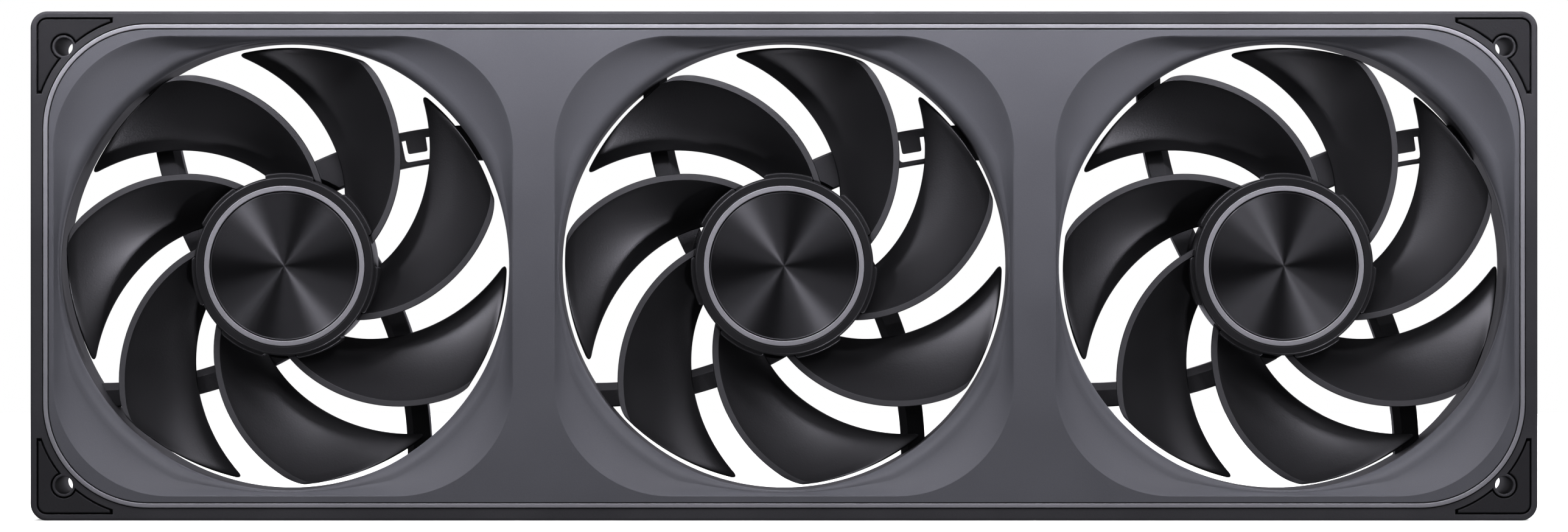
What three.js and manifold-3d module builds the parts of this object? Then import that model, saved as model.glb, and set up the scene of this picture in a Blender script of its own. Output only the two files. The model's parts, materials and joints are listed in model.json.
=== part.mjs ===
// Triple cooling-fan unit: three 120 mm axial fans side by side in one 361 mm chassis.
//
// Millimetres. Each piece is drawn face-on: x to the right, y up and z out of the intake face, with z = 0
// on the rear mounting plane. The exported group stands the unit on its long edge: +X right, +Z up, and
// the intake face towards -Y. Its origin is the middle of the underside.

import * as THREE from "three";
import { mergeVertices } from "three/addons/utils/BufferGeometryUtils.js";
import Module from "manifold-3d";

const wasm = await Module();
wasm.setup();

// ---- Driving dimensions -------------------------------------------------------------------------
const LENGTH = 361;
const HEIGHT = 122;
const DEPTH = 28;
const FAN_PITCH = 120;
const HOLE_PITCH_X = 345;
const HOLE_PITCH_Y = 105;
const HOLE_R = 2.15;
const CORNER_R = 4;

const REAR_FACE = 0.3; // the rear pads stand this far proud of it
const FRONT_FACE = 27.7; // the trim ring stands 0.3 proud of it
const REAR_PLATE = 2.5;
const LAND = 2.9; // width of the chassis rim round the bezel
const OPENING_R = 25.4;
const RIM_GAP = 0.2;
const TRIM_WIDTH = 1.05;

const BORE_R = 54;
const DUCT_WALL = 1.8;
const DUCT_FRONT = 19.6;
const DISH_HALF = 54.9; // half the side of the rounded square dished round each fan
const DISH_CORNER_R = 27.8;
const DISH_BOTTOM = 22;
const BEZEL_SKIN = 1.8;

const PAD_INSET = 1.9;
const PAD_CORNER_R = 2;
const PAD_WEB = 2; // from the opening to a pad's long side
const PAD_TIP = 0.6;
const PAD_GROOVE = 0.4;
const PAD_BITE_R = 3.15;
const PAD_THICK = 1.6;

const BORE_SIDES = 32;
const HUB_SIDES = 21;
const BLADES = 7;
const BLADE_ROOT_R = 21; // inside the hub's wall
const BLADE_TIP_R = 52.8;
const BLADE_FRONT = 21.2;
const BLADE_REAR = 10;
const BLADE_LAND = 1.6; // width of the flat on the leading edge
const BLADE_THICK = 1.1;

const HUB_R = 21.5;
const HUB_CHAMFER = 0.6;
const HUB_INNER_R = 18;
const HUB_FRONT = 24.2;
const HUB_FLOOR = 22.9;
const HUB_REAR = 6.6;
const COLLAR_R = 22.45;
const COLLAR_FRONT = 22.4;
const CAP_R = 17.75;
const RING_INNER_R = 18;
const RING_OUTER_R = 19.25;
const RECESS_R = 19.4;

const STRUT_CENTRE = [60.7, 46.1]; // each strut is a slice of a ring round a point outside the bore
const STRUT_OUTER_R = 95;
const STRUT_WIDTH = 5.8;
const CHANNEL_WIDTH = 8.6;
const CHANNEL_WALL = 1.2;
const STRUT_REAR = 1;
const STRUT_FRONT = 8;
const BASE_R = 21;
const BASE_FLOOR = 2.5;
const BASE_RIM = 5.6;
const UNDER_SKIRT = 6; // what reaches under the impeller's skirt stays below this

const LEAD_THICK = 0.5;
const LEAD_REAR = 2.9;
const LEAD_FRONT = 5.2;

// Screw bosses between chassis and bezel: x, y and how far forward the bezel's post reaches.
const BOSSES = [
  [-60, 50.5, 26.5],
  [60, 44, 26.5],
  [-60, -50.5, 26.5],
  [60, -50.5, 26.5],
  [-168, 46, 24.6],
  [168, 46, 24.6],
  [-168, -46, 24.6],
  [168, -46, 24.6],
];
const SOCKET = { x: 60, z: 7, width: 14, height: 6, wall: 1 };
const SOCKET_GAP = 0.3;

// ---- Materials ----------------------------------------------------------------------------------
function material(color, roughness, metalness) {
  return new THREE.MeshStandardMaterial({ color, roughness, metalness });
}

const BLACK_PLASTIC = material(0x1d1d1f, 0.5, 0);
const SLATE_PLASTIC = material(0x4b4b54, 0.45, 0);
const GREY_TRIM = material(0x86868f, 0.4, 0.2);
const RUBBER = material(0x222224, 0.8, 0);
const SPUN_METAL = material(0x2b2b2d, 0.3, 0.9);
const STEEL = material(0x8d9094, 0.35, 1);
const MAGNET = material(0x2e2c2b, 0.6, 0.2);
const COPPER = material(0xa8562c, 0.4, 1);
const BRASS = material(0xb48a45, 0.35, 1);
const BOARD = material(0x10281a, 0.6, 0);
const FLEX = material(0x161616, 0.6, 0);
const LABEL = material(0x2a2a2c, 0.55, 0);

// ---- Solids -------------------------------------------------------------------------------------
const DEG = Math.PI / 180;
const point = (x, y) => new THREE.Vector2(x, y);

function solidOf(geometry) {
  const bare = geometry.clone();
  bare.deleteAttribute("normal");
  bare.deleteAttribute("uv");
  const { attributes, index } = mergeVertices(bare, 1e-4);
  const vertProperties = new Float32Array(attributes.position.array);
  const triVerts = new Uint32Array(index.array);
  return new wasm.Manifold(new wasm.Mesh({ numProp: 3, vertProperties, triVerts }));
}

function geometryOf(solid) {
  const { vertProperties, triVerts } = solid.getMesh();
  const geometry = new THREE.BufferGeometry();
  geometry.setAttribute("position", new THREE.BufferAttribute(vertProperties, 3));
  geometry.setIndex(new THREE.BufferAttribute(triVerts, 1));
  geometry.computeVertexNormals();
  return geometry;
}

function joined(parts) {
  return geometryOf(parts.map(solidOf).reduce((whole, part) => whole.add(part)));
}

function cut(body, tools) {
  return geometryOf(tools.map(solidOf).reduce((rest, tool) => rest.subtract(tool), solidOf(body)));
}

const common = (a, b) => geometryOf(solidOf(a).intersect(solidOf(b)));
const moved = (geometry, x, y, z = 0) => geometry.clone().translate(x, y, z);
const spun = (geometry, degrees) => geometry.clone().rotateZ(degrees * DEG);

function arc(cx, cy, r, fromDeg, toDeg, steps) {
  return Array.from({ length: steps + 1 }, (_, i) => {
    const angle = (fromDeg + ((toDeg - fromDeg) * i) / steps) * DEG;
    return point(cx + r * Math.cos(angle), cy + r * Math.sin(angle));
  });
}

const circle = (cx, cy, r, sides) => arc(cx, cy, r, 0, 360, sides).slice(0, -1);

function roundedRect(width, height, r, steps) {
  const x = width / 2 - r;
  const y = height / 2 - r;
  return [
    ...arc(x, y, r, 0, 90, steps),
    ...arc(-x, y, r, 90, 180, steps),
    ...arc(-x, -y, r, 180, 270, steps),
    ...arc(x, -y, r, 270, 360, steps),
  ];
}

function extruded(outline, z0, z1, holes = []) {
  const shape = new THREE.Shape(outline);
  shape.holes = holes.map((hole) => new THREE.Path(hole));
  return new THREE.ExtrudeGeometry(shape, { depth: z1 - z0, bevelEnabled: false }).translate(0, 0, z0);
}

// The profile is a closed loop of [r, z] points, turned about the z axis.
function turned(profile, sides) {
  const points = [...profile, profile[0]].map(([r, z]) => point(r, z));
  return new THREE.LatheGeometry(points, sides).rotateX(Math.PI / 2);
}

const disc = (cx, cy, r, z0, z1, sides = 14) => extruded(circle(cx, cy, r, sides), z0, z1);

function tube(cx, cy, outer, inner, z0, z1, sides) {
  return extruded(circle(cx, cy, outer, sides), z0, z1, [circle(cx, cy, inner, sides)]);
}

function box(x0, x1, y0, y1, z0, z1) {
  const middle = [(x0 + x1) / 2, (y0 + y1) / 2, (z0 + z1) / 2];
  return new THREE.BoxGeometry(x1 - x0, y1 - y0, z1 - z0).translate(...middle);
}

function fromTriangles(corners) {
  const geometry = new THREE.BufferGeometry();
  geometry.setAttribute("position", new THREE.Float32BufferAttribute(corners.flat(), 3));
  return geometry;
}

// ---- Assembly -----------------------------------------------------------------------------------
const unit = new THREE.Group();
unit.rotation.x = Math.PI / 2;
unit.position.set(0, DEPTH / 2, HEIGHT / 2);

function place(name, geometry, look, group = unit) {
  const mesh = new THREE.Mesh(geometryOf(solidOf(geometry)), look);
  mesh.name = name;
  group.add(mesh);
}

const FAN_X = [-FAN_PITCH, 0, FAN_PITCH];
const CORNERS = [
  ["top_right", 1, 1],
  ["top_left", -1, 1],
  ["bottom_left", -1, -1],
  ["bottom_right", 1, -1],
];

// The opening that the bezel fills, drawn in from its edge by an inset.
function openingOutline(inset) {
  const margin = 2 * (LAND + inset);
  return roundedRect(LENGTH - margin, HEIGHT - margin, OPENING_R - inset, 6);
}

// ---- Corner pads --------------------------------------------------------------------------------
// A three-cornered pad: two straight legs along the edges, a long side that follows the opening's corner,
// and a round bite in it where the mounting screw passes. grow widens it into the pocket it lies in.
function padOutline(sx, sy, grow) {
  const edge = point(LENGTH / 2 - PAD_INSET, HEIGHT / 2 - PAD_INSET);
  const centre = point(LENGTH / 2 - LAND - OPENING_R, HEIGHT / 2 - LAND - OPENING_R);
  const hole = point(HOLE_PITCH_X / 2, HOLE_PITCH_Y / 2);
  const longR = OPENING_R + PAD_WEB;
  const topTip = Math.asin((edge.y - PAD_TIP - centre.y) / longR) / DEG + grow * 3;
  const sideTip = Math.acos((edge.x - PAD_TIP - centre.x) / longR) / DEG - grow * 3;
  const r = longR - grow;
  const bite = PAD_BITE_R - grow;
  const reach = hole.distanceTo(centre);
  const towards = Math.atan2(hole.y - centre.y, hole.x - centre.x) / DEG;
  const mouth = Math.acos((reach ** 2 + r ** 2 - bite ** 2) / (2 * reach * r)) / DEG;
  const lip = Math.acos((reach ** 2 + bite ** 2 - r ** 2) / (2 * reach * bite)) / DEG;
  const upper = arc(centre.x, centre.y, r, topTip, towards + mouth, 3);
  const lower = arc(centre.x, centre.y, r, towards - mouth, sideTip, 3);
  return [
    ...arc(edge.x - PAD_CORNER_R, edge.y - PAD_CORNER_R, PAD_CORNER_R + grow, 0, 90, 3),
    point(upper[0].x, edge.y + grow),
    ...upper,
    ...arc(hole.x, hole.y, bite, towards + 180 - lip, towards - 180 + lip, 8).slice(1, -1),
    ...lower,
    point(edge.x + grow, lower[lower.length - 1].y),
  ].map((p) => point(p.x * sx, p.y * sy));
}

const pad = (sx, sy, z0, z1, grow = 0) => extruded(padOutline(sx, sy, grow), z0, z1);

function addPads() {
  CORNERS.forEach(([where, sx, sy]) => {
    place(`front_pad_${where}`, pad(sx, sy, FRONT_FACE - PAD_THICK, FRONT_FACE), RUBBER);
    place(`rear_pad_${where}`, pad(sx, sy, 0, PAD_THICK), RUBBER);
  });
}

// ---- Chassis ------------------------------------------------------------------------------------
// A slice of a ring round the strut centre, as it lies at the upper left of a fan.
function strutBand(inner, outer, z0, z1, fromDeg = -8, toDeg = 38) {
  const [cx, cy] = STRUT_CENTRE;
  const steps = toDeg - fromDeg > 10 ? 6 : 1;
  const outside = arc(cx, cy, outer, 180 + fromDeg, 180 + toDeg, steps);
  const inside = arc(cx, cy, inner, 180 + toDeg, 180 + fromDeg, steps);
  return extruded([...outside, ...inside], z0, z1);
}

// The strut that carries the motor's lead is a channel, open at the rear. Its web steps down where it
// passes under the impeller's skirt. A U-shaped slot in the web leaves a tab over the lead.
function channelStrut() {
  const outer = STRUT_OUTER_R;
  const inner = outer - CHANNEL_WIDTH;
  const body = joined([
    strutBand(inner, outer, STRUT_FRONT - 1, STRUT_FRONT),
    strutBand(inner, outer, UNDER_SKIRT - 0.5, UNDER_SKIRT, 21.5),
    strutBand(inner, inner + CHANNEL_WALL, STRUT_REAR, STRUT_FRONT),
    strutBand(outer - CHANNEL_WALL, outer, STRUT_REAR, STRUT_FRONT),
  ]);
  const [slotFrom, slotTo, leg, foot, root] = [7.5, 11.8, 0.65, 1.9, 2];
  const [z0, z1] = [STRUT_FRONT - 2, STRUT_FRONT + 1];
  const low = inner + CHANNEL_WALL;
  return cut(body, [
    strutBand(low, low + foot, z0, z1, slotFrom, slotTo),
    strutBand(low, outer - root, z0, z1, slotFrom, slotFrom + leg),
    strutBand(low, outer - root, z0, z1, slotTo - leg, slotTo),
  ]);
}

// The cup under the motor, with the tube that holds the bearing.
function motorBase() {
  const profile = [
    [0, 1],
    [16.4, 1],
    [16.4, REAR_FACE],
    [BASE_R, REAR_FACE],
    [BASE_R, BASE_RIM],
    [19.6, BASE_RIM],
    [19.6, BASE_FLOOR],
    [5.2, BASE_FLOOR],
    [5.2, 18],
    [3.9, 18],
    [3.9, BASE_FLOOR],
    [0, BASE_FLOOR],
  ];
  return turned(profile, 20);
}

function spider() {
  const plain = strutBand(STRUT_OUTER_R - STRUT_WIDTH, STRUT_OUTER_R, STRUT_REAR, STRUT_FRONT);
  const struts = joined([spun(channelStrut(), -90), plain, spun(plain, 90), spun(plain, 180)]);
  const trimmed = common(struts, disc(0, 0, BORE_R + 1, 0, STRUT_FRONT + 1, 32));
  const underMotor = disc(0, 0, BASE_R - 0.7, 0, STRUT_FRONT + 1, 20);
  const underSkirt = disc(0, 0, HUB_R + 1, UNDER_SKIRT, STRUT_FRONT + 1, 20);
  return joined([cut(trimmed, [underMotor, underSkirt]), motorBase()]);
}

function fanSeat() {
  const duct = tube(0, 0, BORE_R + DUCT_WALL, BORE_R, REAR_FACE + 1, DUCT_FRONT, BORE_SIDES);
  const baseNotch = box(-1.4, 3.2, 18.8, 22.3, BASE_FLOOR + 0.1, BASE_RIM + 0.1);
  const ductNotch = box(42, 46.6, 31.6, 33.7, BASE_FLOOR + 0.1, BASE_RIM);
  return cut(joined([spider(), duct]), [baseNotch, ductNotch]);
}

function chassis() {
  const outline = roundedRect(LENGTH, HEIGHT, CORNER_R, 3);
  const rim = extruded(outline, REAR_FACE, FRONT_FACE, [openingOutline(0)]);
  const bores = FAN_X.map((x) => circle(x, 0, BORE_R, BORE_SIDES));
  const rearPlate = extruded(outline, REAR_FACE, REAR_FACE + REAR_PLATE, bores);
  const seat = fanSeat();
  const seats = FAN_X.map((x) => moved(seat, x, 0));
  const bosses = BOSSES.map(([x, y]) => disc(x, y, 4, REAR_FACE + 1, 19, 8));
  const mountingHoles = CORNERS.map(([, sx, sy]) =>
    disc((sx * HOLE_PITCH_X) / 2, (sy * HOLE_PITCH_Y) / 2, HOLE_R, -1, DEPTH + 1),
  );
  const screwHoles = BOSSES.flatMap(([x, y]) => [
    disc(x, y, 1.75, -1, 20, 8),
    disc(x, y, 3.2, -1, REAR_FACE + 2.3, 8),
  ]);
  const pockets = CORNERS.flatMap(([, sx, sy]) => [
    pad(sx, sy, FRONT_FACE - PAD_THICK - 0.3, FRONT_FACE + 1, PAD_GROOVE),
    pad(sx, sy, -1, PAD_THICK + 0.3, PAD_GROOVE),
  ]);
  const { x, z, width, height } = SOCKET;
  const [dx, dz] = [width / 2 + SOCKET_GAP, height / 2 + SOCKET_GAP];
  const window = box(x - dx, x + dx, HEIGHT / 2 - 4, HEIGHT / 2 + 1, z - dz, z + dz);
  const body = joined([rim, rearPlate, ...seats, ...bosses]);
  return cut(body, [...mountingHoles, ...screwHoles, ...pockets, window]);
}

// ---- Bezel and trim -----------------------------------------------------------------------------
// How far the rounded square's edge is from the fan's axis, along the ray at an angle.
function dishEdge(angle) {
  const c = Math.abs(Math.cos(angle));
  const s = Math.abs(Math.sin(angle));
  const flat = DISH_HALF / Math.max(c, s);
  const centre = DISH_HALF - DISH_CORNER_R;
  if (Math.min(c, s) * flat <= centre) return flat;
  const along = centre * (c + s);
  return along + Math.sqrt(along ** 2 - 2 * centre ** 2 + DISH_CORNER_R ** 2);
}

// The dished surround of one bore: cross-sections that run from the rounded square in the front face down
// to the bore's lip and back up behind.
function dish(sides) {
  const section = (angle) => {
    const edge = dishEdge(angle);
    const slope = (t, drop) => [edge + (BORE_R - edge) * t, FRONT_FACE - (FRONT_FACE - DISH_BOTTOM) * drop];
    const profile = [
      [edge + 0.8, FRONT_FACE],
      [edge, FRONT_FACE],
      slope(0.35, 0.45),
      slope(0.7, 0.8),
      [BORE_R, DISH_BOTTOM],
      [BORE_R, DUCT_FRONT + 0.3],
      [BORE_R + 1.5, DUCT_FRONT + 0.3],
      [Math.max(edge + 0.8, BORE_R + 1.6), FRONT_FACE - BEZEL_SKIN],
    ];
    return profile.map(([r, z]) => [r * Math.cos(angle), r * Math.sin(angle), z]);
  };
  const sections = Array.from({ length: sides }, (_, i) => section((i * 2 * Math.PI) / sides));
  const corners = sections.flatMap((here, i) => {
    const next = sections[(i + 1) % sides];
    return here.flatMap((p, j) => {
      const k = (j + 1) % here.length;
      return [p, next[k], here[k], p, next[j], next[k]];
    });
  });
  return fromTriangles(corners);
}

function bezel() {
  const sides = BORE_SIDES;
  const square = (x) =>
    Array.from({ length: sides }, (_, i) => {
      const angle = (i * 2 * Math.PI) / sides;
      return point(x + dishEdge(angle) * Math.cos(angle), dishEdge(angle) * Math.sin(angle));
    });
  const outline = openingOutline(2 * RIM_GAP + TRIM_WIDTH);
  const face = extruded(outline, FRONT_FACE - BEZEL_SKIN, FRONT_FACE, FAN_X.map(square));
  const flange = extruded(openingOutline(RIM_GAP), 24.7, 26.1, [openingOutline(2.2)]);
  const dishes = FAN_X.map((x) => moved(dish(sides), x, 0));
  const posts = BOSSES.map(([x, y, front]) => tube(x, y, 2.9, 1.7, 19.3, front, 8));
  return joined([face, flange, ...dishes, ...posts]);
}

function trimRing() {
  return extruded(openingOutline(RIM_GAP), 26.4, DEPTH, [openingOutline(RIM_GAP + TRIM_WIDTH)]);
}

function bezelScrew(x, y) {
  const shank = disc(x, y, 1.3, 2.1, 24, 6);
  const head = disc(x, y, 2.8, 0.7, 2.2, 8);
  const [long, short] = [1.5, 0.3];
  const flat = box(x - long, x + long, y - short, y + short, 0, 1.5);
  const upright = box(x - short, x + short, y - long, y + long, 0, 1.5);
  return cut(joined([shank, head]), [flat, upright]);
}

// ---- Impeller -----------------------------------------------------------------------------------
// Where the blade's two edges lie round the axis, in degrees. u runs from 0 near the hub to 1 near the tip.
const leadingEdge = (u) => 15 + 60.4 * u - 21.5 * u ** 2 + 12.2 * u ** 3;
const trailingEdge = (u) => 52 + 63.6 * u - 21.5 * u ** 2 + 8.9 * u ** 3;

// The front surface behind the leading edge's flat, falling fast and then ever more slowly. t runs from 0
// at the flat to 1 at the trailing edge.
function bladeHeight(t) {
  return BLADE_FRONT - (BLADE_FRONT - BLADE_REAR - BLADE_THICK) * (1 - (1 - t) ** 1.5);
}

// A blade's section at radius r: the front surface from the flat to the trailing edge, then the rear
// surface back again.
function bladeSection(r, steps) {
  const u = (r - 22) / 30;
  const lead = leadingEdge(u) * DEG;
  const trail = trailingEdge(u) * DEG;
  const land = BLADE_LAND / r;
  const at = (angle, z) => [r * Math.cos(angle), r * Math.sin(angle), z];
  const thick = (t) => BLADE_THICK * Math.min(1, 3 * t);
  const ts = Array.from({ length: steps + 1 }, (_, i) => i / steps);
  const front = ts.map((t) => at(lead + land + (trail - lead - land) * t, bladeHeight(t)));
  const rear = ts.map((t) => at(lead + (trail - lead) * t, bladeHeight(t) - thick(t)));
  return [...front, ...rear.reverse()];
}

function blade(stations, steps) {
  const radii = Array.from({ length: stations + 1 }, (_, i) => i / stations);
  const sections = radii.map((t) => bladeSection(BLADE_ROOT_R + (BLADE_TIP_R - BLADE_ROOT_R) * t, steps));
  const count = sections[0].length;
  const skin = sections.slice(1).flatMap((outer, i) => {
    const inner = sections[i];
    return inner.flatMap((p, j) => {
      const k = (j + 1) % count;
      return [p, outer[k], inner[k], p, outer[j], outer[k]];
    });
  });
  // Each end is closed by a strip between its front and its rear edge.
  const cap = (end) =>
    Array.from({ length: steps }, (_, j) => {
      const m = count - 1 - j;
      return [end[j], end[j + 1], end[m - 1], end[j], end[m - 1], end[m]];
    }).flat();
  return fromTriangles([...skin, ...cap(sections[0]), ...cap([...sections[stations]].reverse())]);
}

// A low collar that stiffens a blade's root: it stands on the blade's front surface, against the hub.
function rootCollar(steps) {
  const lead = leadingEdge(0) + 5.5;
  const trail = trailingEdge(0) - 1;
  const loops = Array.from({ length: steps + 1 }, (_, i) => {
    const t = i / steps;
    const angle = (lead + (trail - lead) * t) * DEG;
    const foot = bladeHeight(t) - BLADE_THICK / 2;
    const at = (r, z) => [r * Math.cos(angle), r * Math.sin(angle), z];
    return [
      at(BLADE_ROOT_R, foot),
      at(BLADE_ROOT_R, COLLAR_FRONT),
      at(COLLAR_R, COLLAR_FRONT),
      at(COLLAR_R, foot),
    ];
  });
  const sides = loops.slice(1).flatMap((next, i) => {
    const here = loops[i];
    return here.flatMap((p, j) => {
      const k = (j + 1) % here.length;
      return [p, here[k], next[k], p, next[k], next[j]];
    });
  });
  const end = ([a, b, c, d]) => [a, b, c, a, c, d];
  return fromTriangles([...sides, ...end([...loops[0]].reverse()), ...end(loops[steps])]);
}

function impeller() {
  const profile = [
    [0, HUB_FLOOR - 1.3],
    [HUB_INNER_R, HUB_FLOOR - 1.3],
    [HUB_INNER_R, HUB_REAR],
    [HUB_R, HUB_REAR],
    [HUB_R, HUB_FRONT - HUB_CHAMFER],
    [HUB_R - HUB_CHAMFER, HUB_FRONT],
    [RECESS_R, HUB_FRONT],
    [RECESS_R, HUB_FLOOR],
    [0, HUB_FLOOR],
  ];
  const around = (one) => Array.from({ length: BLADES }, (_, i) => spun(one, (360 / BLADES) * i));
  return joined([turned(profile, HUB_SIDES), ...around(blade(4, 3)), ...around(rootCollar(3))]);
}

function hubRing() {
  const profile = [
    [RING_INNER_R, HUB_FLOOR + 0.3],
    [RING_OUTER_R, HUB_FLOOR + 0.3],
    [RING_OUTER_R, HUB_FRONT + 0.1],
    [RING_INNER_R, HUB_FRONT + 0.1],
  ];
  return turned(profile, HUB_SIDES);
}

function hubCap() {
  const profile = [
    [0, HUB_FLOOR + 0.3],
    [CAP_R, HUB_FLOOR + 0.3],
    [CAP_R, HUB_FRONT - 0.1],
    [0, HUB_FRONT - 0.1],
  ];
  return turned(profile, HUB_SIDES);
}

// ---- Motor --------------------------------------------------------------------------------------
function rotorYoke() {
  const profile = [
    [2.2, 20.2],
    [16.9, 20.2],
    [16.9, 7.2],
    [17.7, 7.2],
    [17.7, 21.2],
    [2.2, 21.2],
  ];
  return turned(profile, 20);
}

const magnetRing = () => tube(0, 0, 16.4, 15.5, 7.6, 16.5, 20);
const rotorShaft = () => disc(0, 0, 1.5, 3.4, 21.2, 12);
const bearingSleeve = () => tube(0, 0, 3.5, 1.8, 3.2, 17.6, 12);

const CORE_REAR = 7.4;
const CORE_FRONT = 12.4;

function statorCore() {
  const ring = tube(0, 0, 8, 5.6, CORE_REAR, CORE_FRONT, 16);
  const shoeOutline = [...arc(0, 0, 14.9, -36, 36, 4), ...arc(0, 0, 13.3, 36, -36, 4)];
  const shoe = extruded(shoeOutline, CORE_REAR, CORE_FRONT);
  const pole = joined([box(7.4, 13.6, -1.5, 1.5, CORE_REAR, CORE_FRONT), shoe]);
  return joined([ring, ...[0, 90, 180, 270].map((turn) => spun(pole, turn))]);
}

// Four coils round the poles, joined by the two rings of the insulating bobbin.
function statorWindings() {
  const poleWay = box(8, 13, -1.8, 1.8, CORE_REAR - 0.3, CORE_FRONT + 0.3);
  const coil = cut(box(8.5, 12.1, -4, 4, 5.4, 14.4), [poleWay]);
  const coils = [0, 90, 180, 270].map((turn) => spun(coil, turn));
  return joined([...coils, tube(0, 0, 9.2, 5.7, 12.8, 13.8, 16), tube(0, 0, 9.2, 5.7, 6, 7, 16)]);
}

function motorBoard() {
  const driver = box(-15.5, -10.5, -2, 2, 3.9, 5);
  return joined([tube(0, 0, 18.4, 5.6, 3, 4, 18), driver]);
}

const rearLabel = () => disc(0, 0, 16, 0.4, 0.8, 20);

// A flat lead on edge: it runs from the motor's board along the upper wall of the channel strut, through
// the duct wall and round the duct to the distribution board.
function motorLead() {
  const [cx, cy] = [STRUT_CENTRE[1], -STRUT_CENTRE[0]];
  const alongStrut = arc(cx, cy, STRUT_OUTER_R - CHANNEL_WALL - 0.55, 118.5, 92, 6);
  const route = [
    point(-0.9, 18.9),
    ...alongStrut,
    point(45.6, 32.8),
    point(46.9, 34.6),
    point(45.2, 38.4),
    point(41.6, 42.4),
    point(37.4, 46.4),
    point(34.7, 50.8),
    point(34, 55.9),
  ];
  const curve = new THREE.CatmullRomCurve3(route.map((p) => new THREE.Vector3(p.x, p.y, 0)));
  const steps = 20;
  const side = (offset) =>
    Array.from({ length: steps + 1 }, (_, i) => {
      const p = curve.getPoint(i / steps);
      const along = curve.getTangent(i / steps);
      return point(p.x - along.y * offset, p.y + along.x * offset);
    });
  return extruded([...side(LEAD_THICK / 2), ...side(-LEAD_THICK / 2).reverse()], LEAD_REAR, LEAD_FRONT);
}

// ---- Wiring -------------------------------------------------------------------------------------
const distributionBoard = () => box(-90, 157, 56.3, 57.3, 3.4, 10.4);

function fanSocket() {
  const { x, z, width, height, wall } = SOCKET;
  const shell = box(x - width / 2, x + width / 2, 57.6, 60.8, z - height / 2, z + height / 2);
  const [dx, dz] = [width / 2 - wall, height / 2 - wall];
  return cut(shell, [box(x - dx, x + dx, 57, 62, z - dz, z + dz)]);
}

function socketPins() {
  const { x, z } = SOCKET;
  const [pitch, half] = [2.54, 0.32];
  const middles = [-1.5, -0.5, 0.5, 1.5].map((n) => x + n * pitch);
  const pins = middles.map((at) => box(at - half, at + half, 58, 60.2, z - half, z + half));
  return joined([box(x - 5.5, x + 5.5, 57.6, 58.4, z - 1.5, z + 1.5), ...pins]);
}

// ---- Build --------------------------------------------------------------------------------------
const FAN_PIECES = [
  ["impeller", impeller(), BLACK_PLASTIC],
  ["hub_ring", hubRing(), GREY_TRIM],
  ["hub_cap", hubCap(), SPUN_METAL],
  ["rotor_yoke", rotorYoke(), STEEL],
  ["magnet_ring", magnetRing(), MAGNET],
  ["rotor_shaft", rotorShaft(), STEEL],
  ["bearing_sleeve", bearingSleeve(), BRASS],
  ["stator_core", statorCore(), STEEL],
  ["stator_windings", statorWindings(), COPPER],
  ["motor_board", motorBoard(), BOARD],
  ["motor_lead", motorLead(), FLEX],
  ["rear_label", rearLabel(), LABEL],
];

place("chassis", chassis(), BLACK_PLASTIC);
place("front_bezel", bezel(), SLATE_PLASTIC);
place("trim_ring", trimRing(), GREY_TRIM);
addPads();
FAN_X.forEach((x, i) => {
  const fan = new THREE.Group();
  fan.position.x = x;
  unit.add(fan);
  FAN_PIECES.forEach(([name, geometry, look]) => place(`${name}_${i + 1}`, geometry, look, fan));
});
place("distribution_board", distributionBoard(), BOARD);
place("fan_socket", fanSocket(), BLACK_PLASTIC);
place("socket_pins", socketPins(), BRASS);
BOSSES.forEach(([x, y], i) => place(`bezel_screw_${i + 1}`, bezelScrew(x, y), STEEL));

export default unit;
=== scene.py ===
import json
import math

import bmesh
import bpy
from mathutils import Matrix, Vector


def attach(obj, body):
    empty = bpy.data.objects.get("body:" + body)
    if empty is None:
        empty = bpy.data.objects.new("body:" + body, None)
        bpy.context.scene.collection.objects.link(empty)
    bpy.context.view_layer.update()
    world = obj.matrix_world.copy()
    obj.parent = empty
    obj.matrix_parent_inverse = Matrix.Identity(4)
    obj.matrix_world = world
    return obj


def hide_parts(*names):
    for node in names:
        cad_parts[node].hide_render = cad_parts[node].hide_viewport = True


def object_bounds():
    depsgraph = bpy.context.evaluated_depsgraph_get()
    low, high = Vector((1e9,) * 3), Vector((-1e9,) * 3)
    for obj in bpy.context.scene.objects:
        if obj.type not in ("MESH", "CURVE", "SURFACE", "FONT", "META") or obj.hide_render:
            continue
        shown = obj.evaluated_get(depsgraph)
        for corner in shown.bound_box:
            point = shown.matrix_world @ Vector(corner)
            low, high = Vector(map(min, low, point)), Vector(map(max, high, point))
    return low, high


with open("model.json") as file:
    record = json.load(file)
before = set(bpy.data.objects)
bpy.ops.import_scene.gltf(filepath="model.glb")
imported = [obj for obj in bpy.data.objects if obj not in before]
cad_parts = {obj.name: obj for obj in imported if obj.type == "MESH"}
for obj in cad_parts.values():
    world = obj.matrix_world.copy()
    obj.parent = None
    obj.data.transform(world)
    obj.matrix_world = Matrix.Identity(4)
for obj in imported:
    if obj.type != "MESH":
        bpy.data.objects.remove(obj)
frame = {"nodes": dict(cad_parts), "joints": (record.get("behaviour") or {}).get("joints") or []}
cad_low, cad_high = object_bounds()

# Looks for the triple cooling-fan unit: three 120 mm axial fans in one chassis, seen face-on.
#
# Every piece is drawn face-on in millimetres: x to the right, y up from the unit's middle, and z out of the
# intake face, with z = 0 on the rear mounting plane. ready() turns that into the frame: metres, +Z up and
# the intake face towards -Y.

# ---- Driving dimensions, millimetres ---------------------------------------------------------------
MM = 0.001
LENGTH, DEPTH, HEIGHT = (round((high - low) / MM, 2) for low, high in zip(cad_low, cad_high))
FAN_X = [joint["pos_m"][0] / MM for joint in frame["joints"]]
BACK = 0.3  # the chassis's rear face; the rear pads stand proud of it
FRONT = DEPTH - 0.3  # the chassis's and bezel's front face; the trim ring stands proud of it

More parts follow.
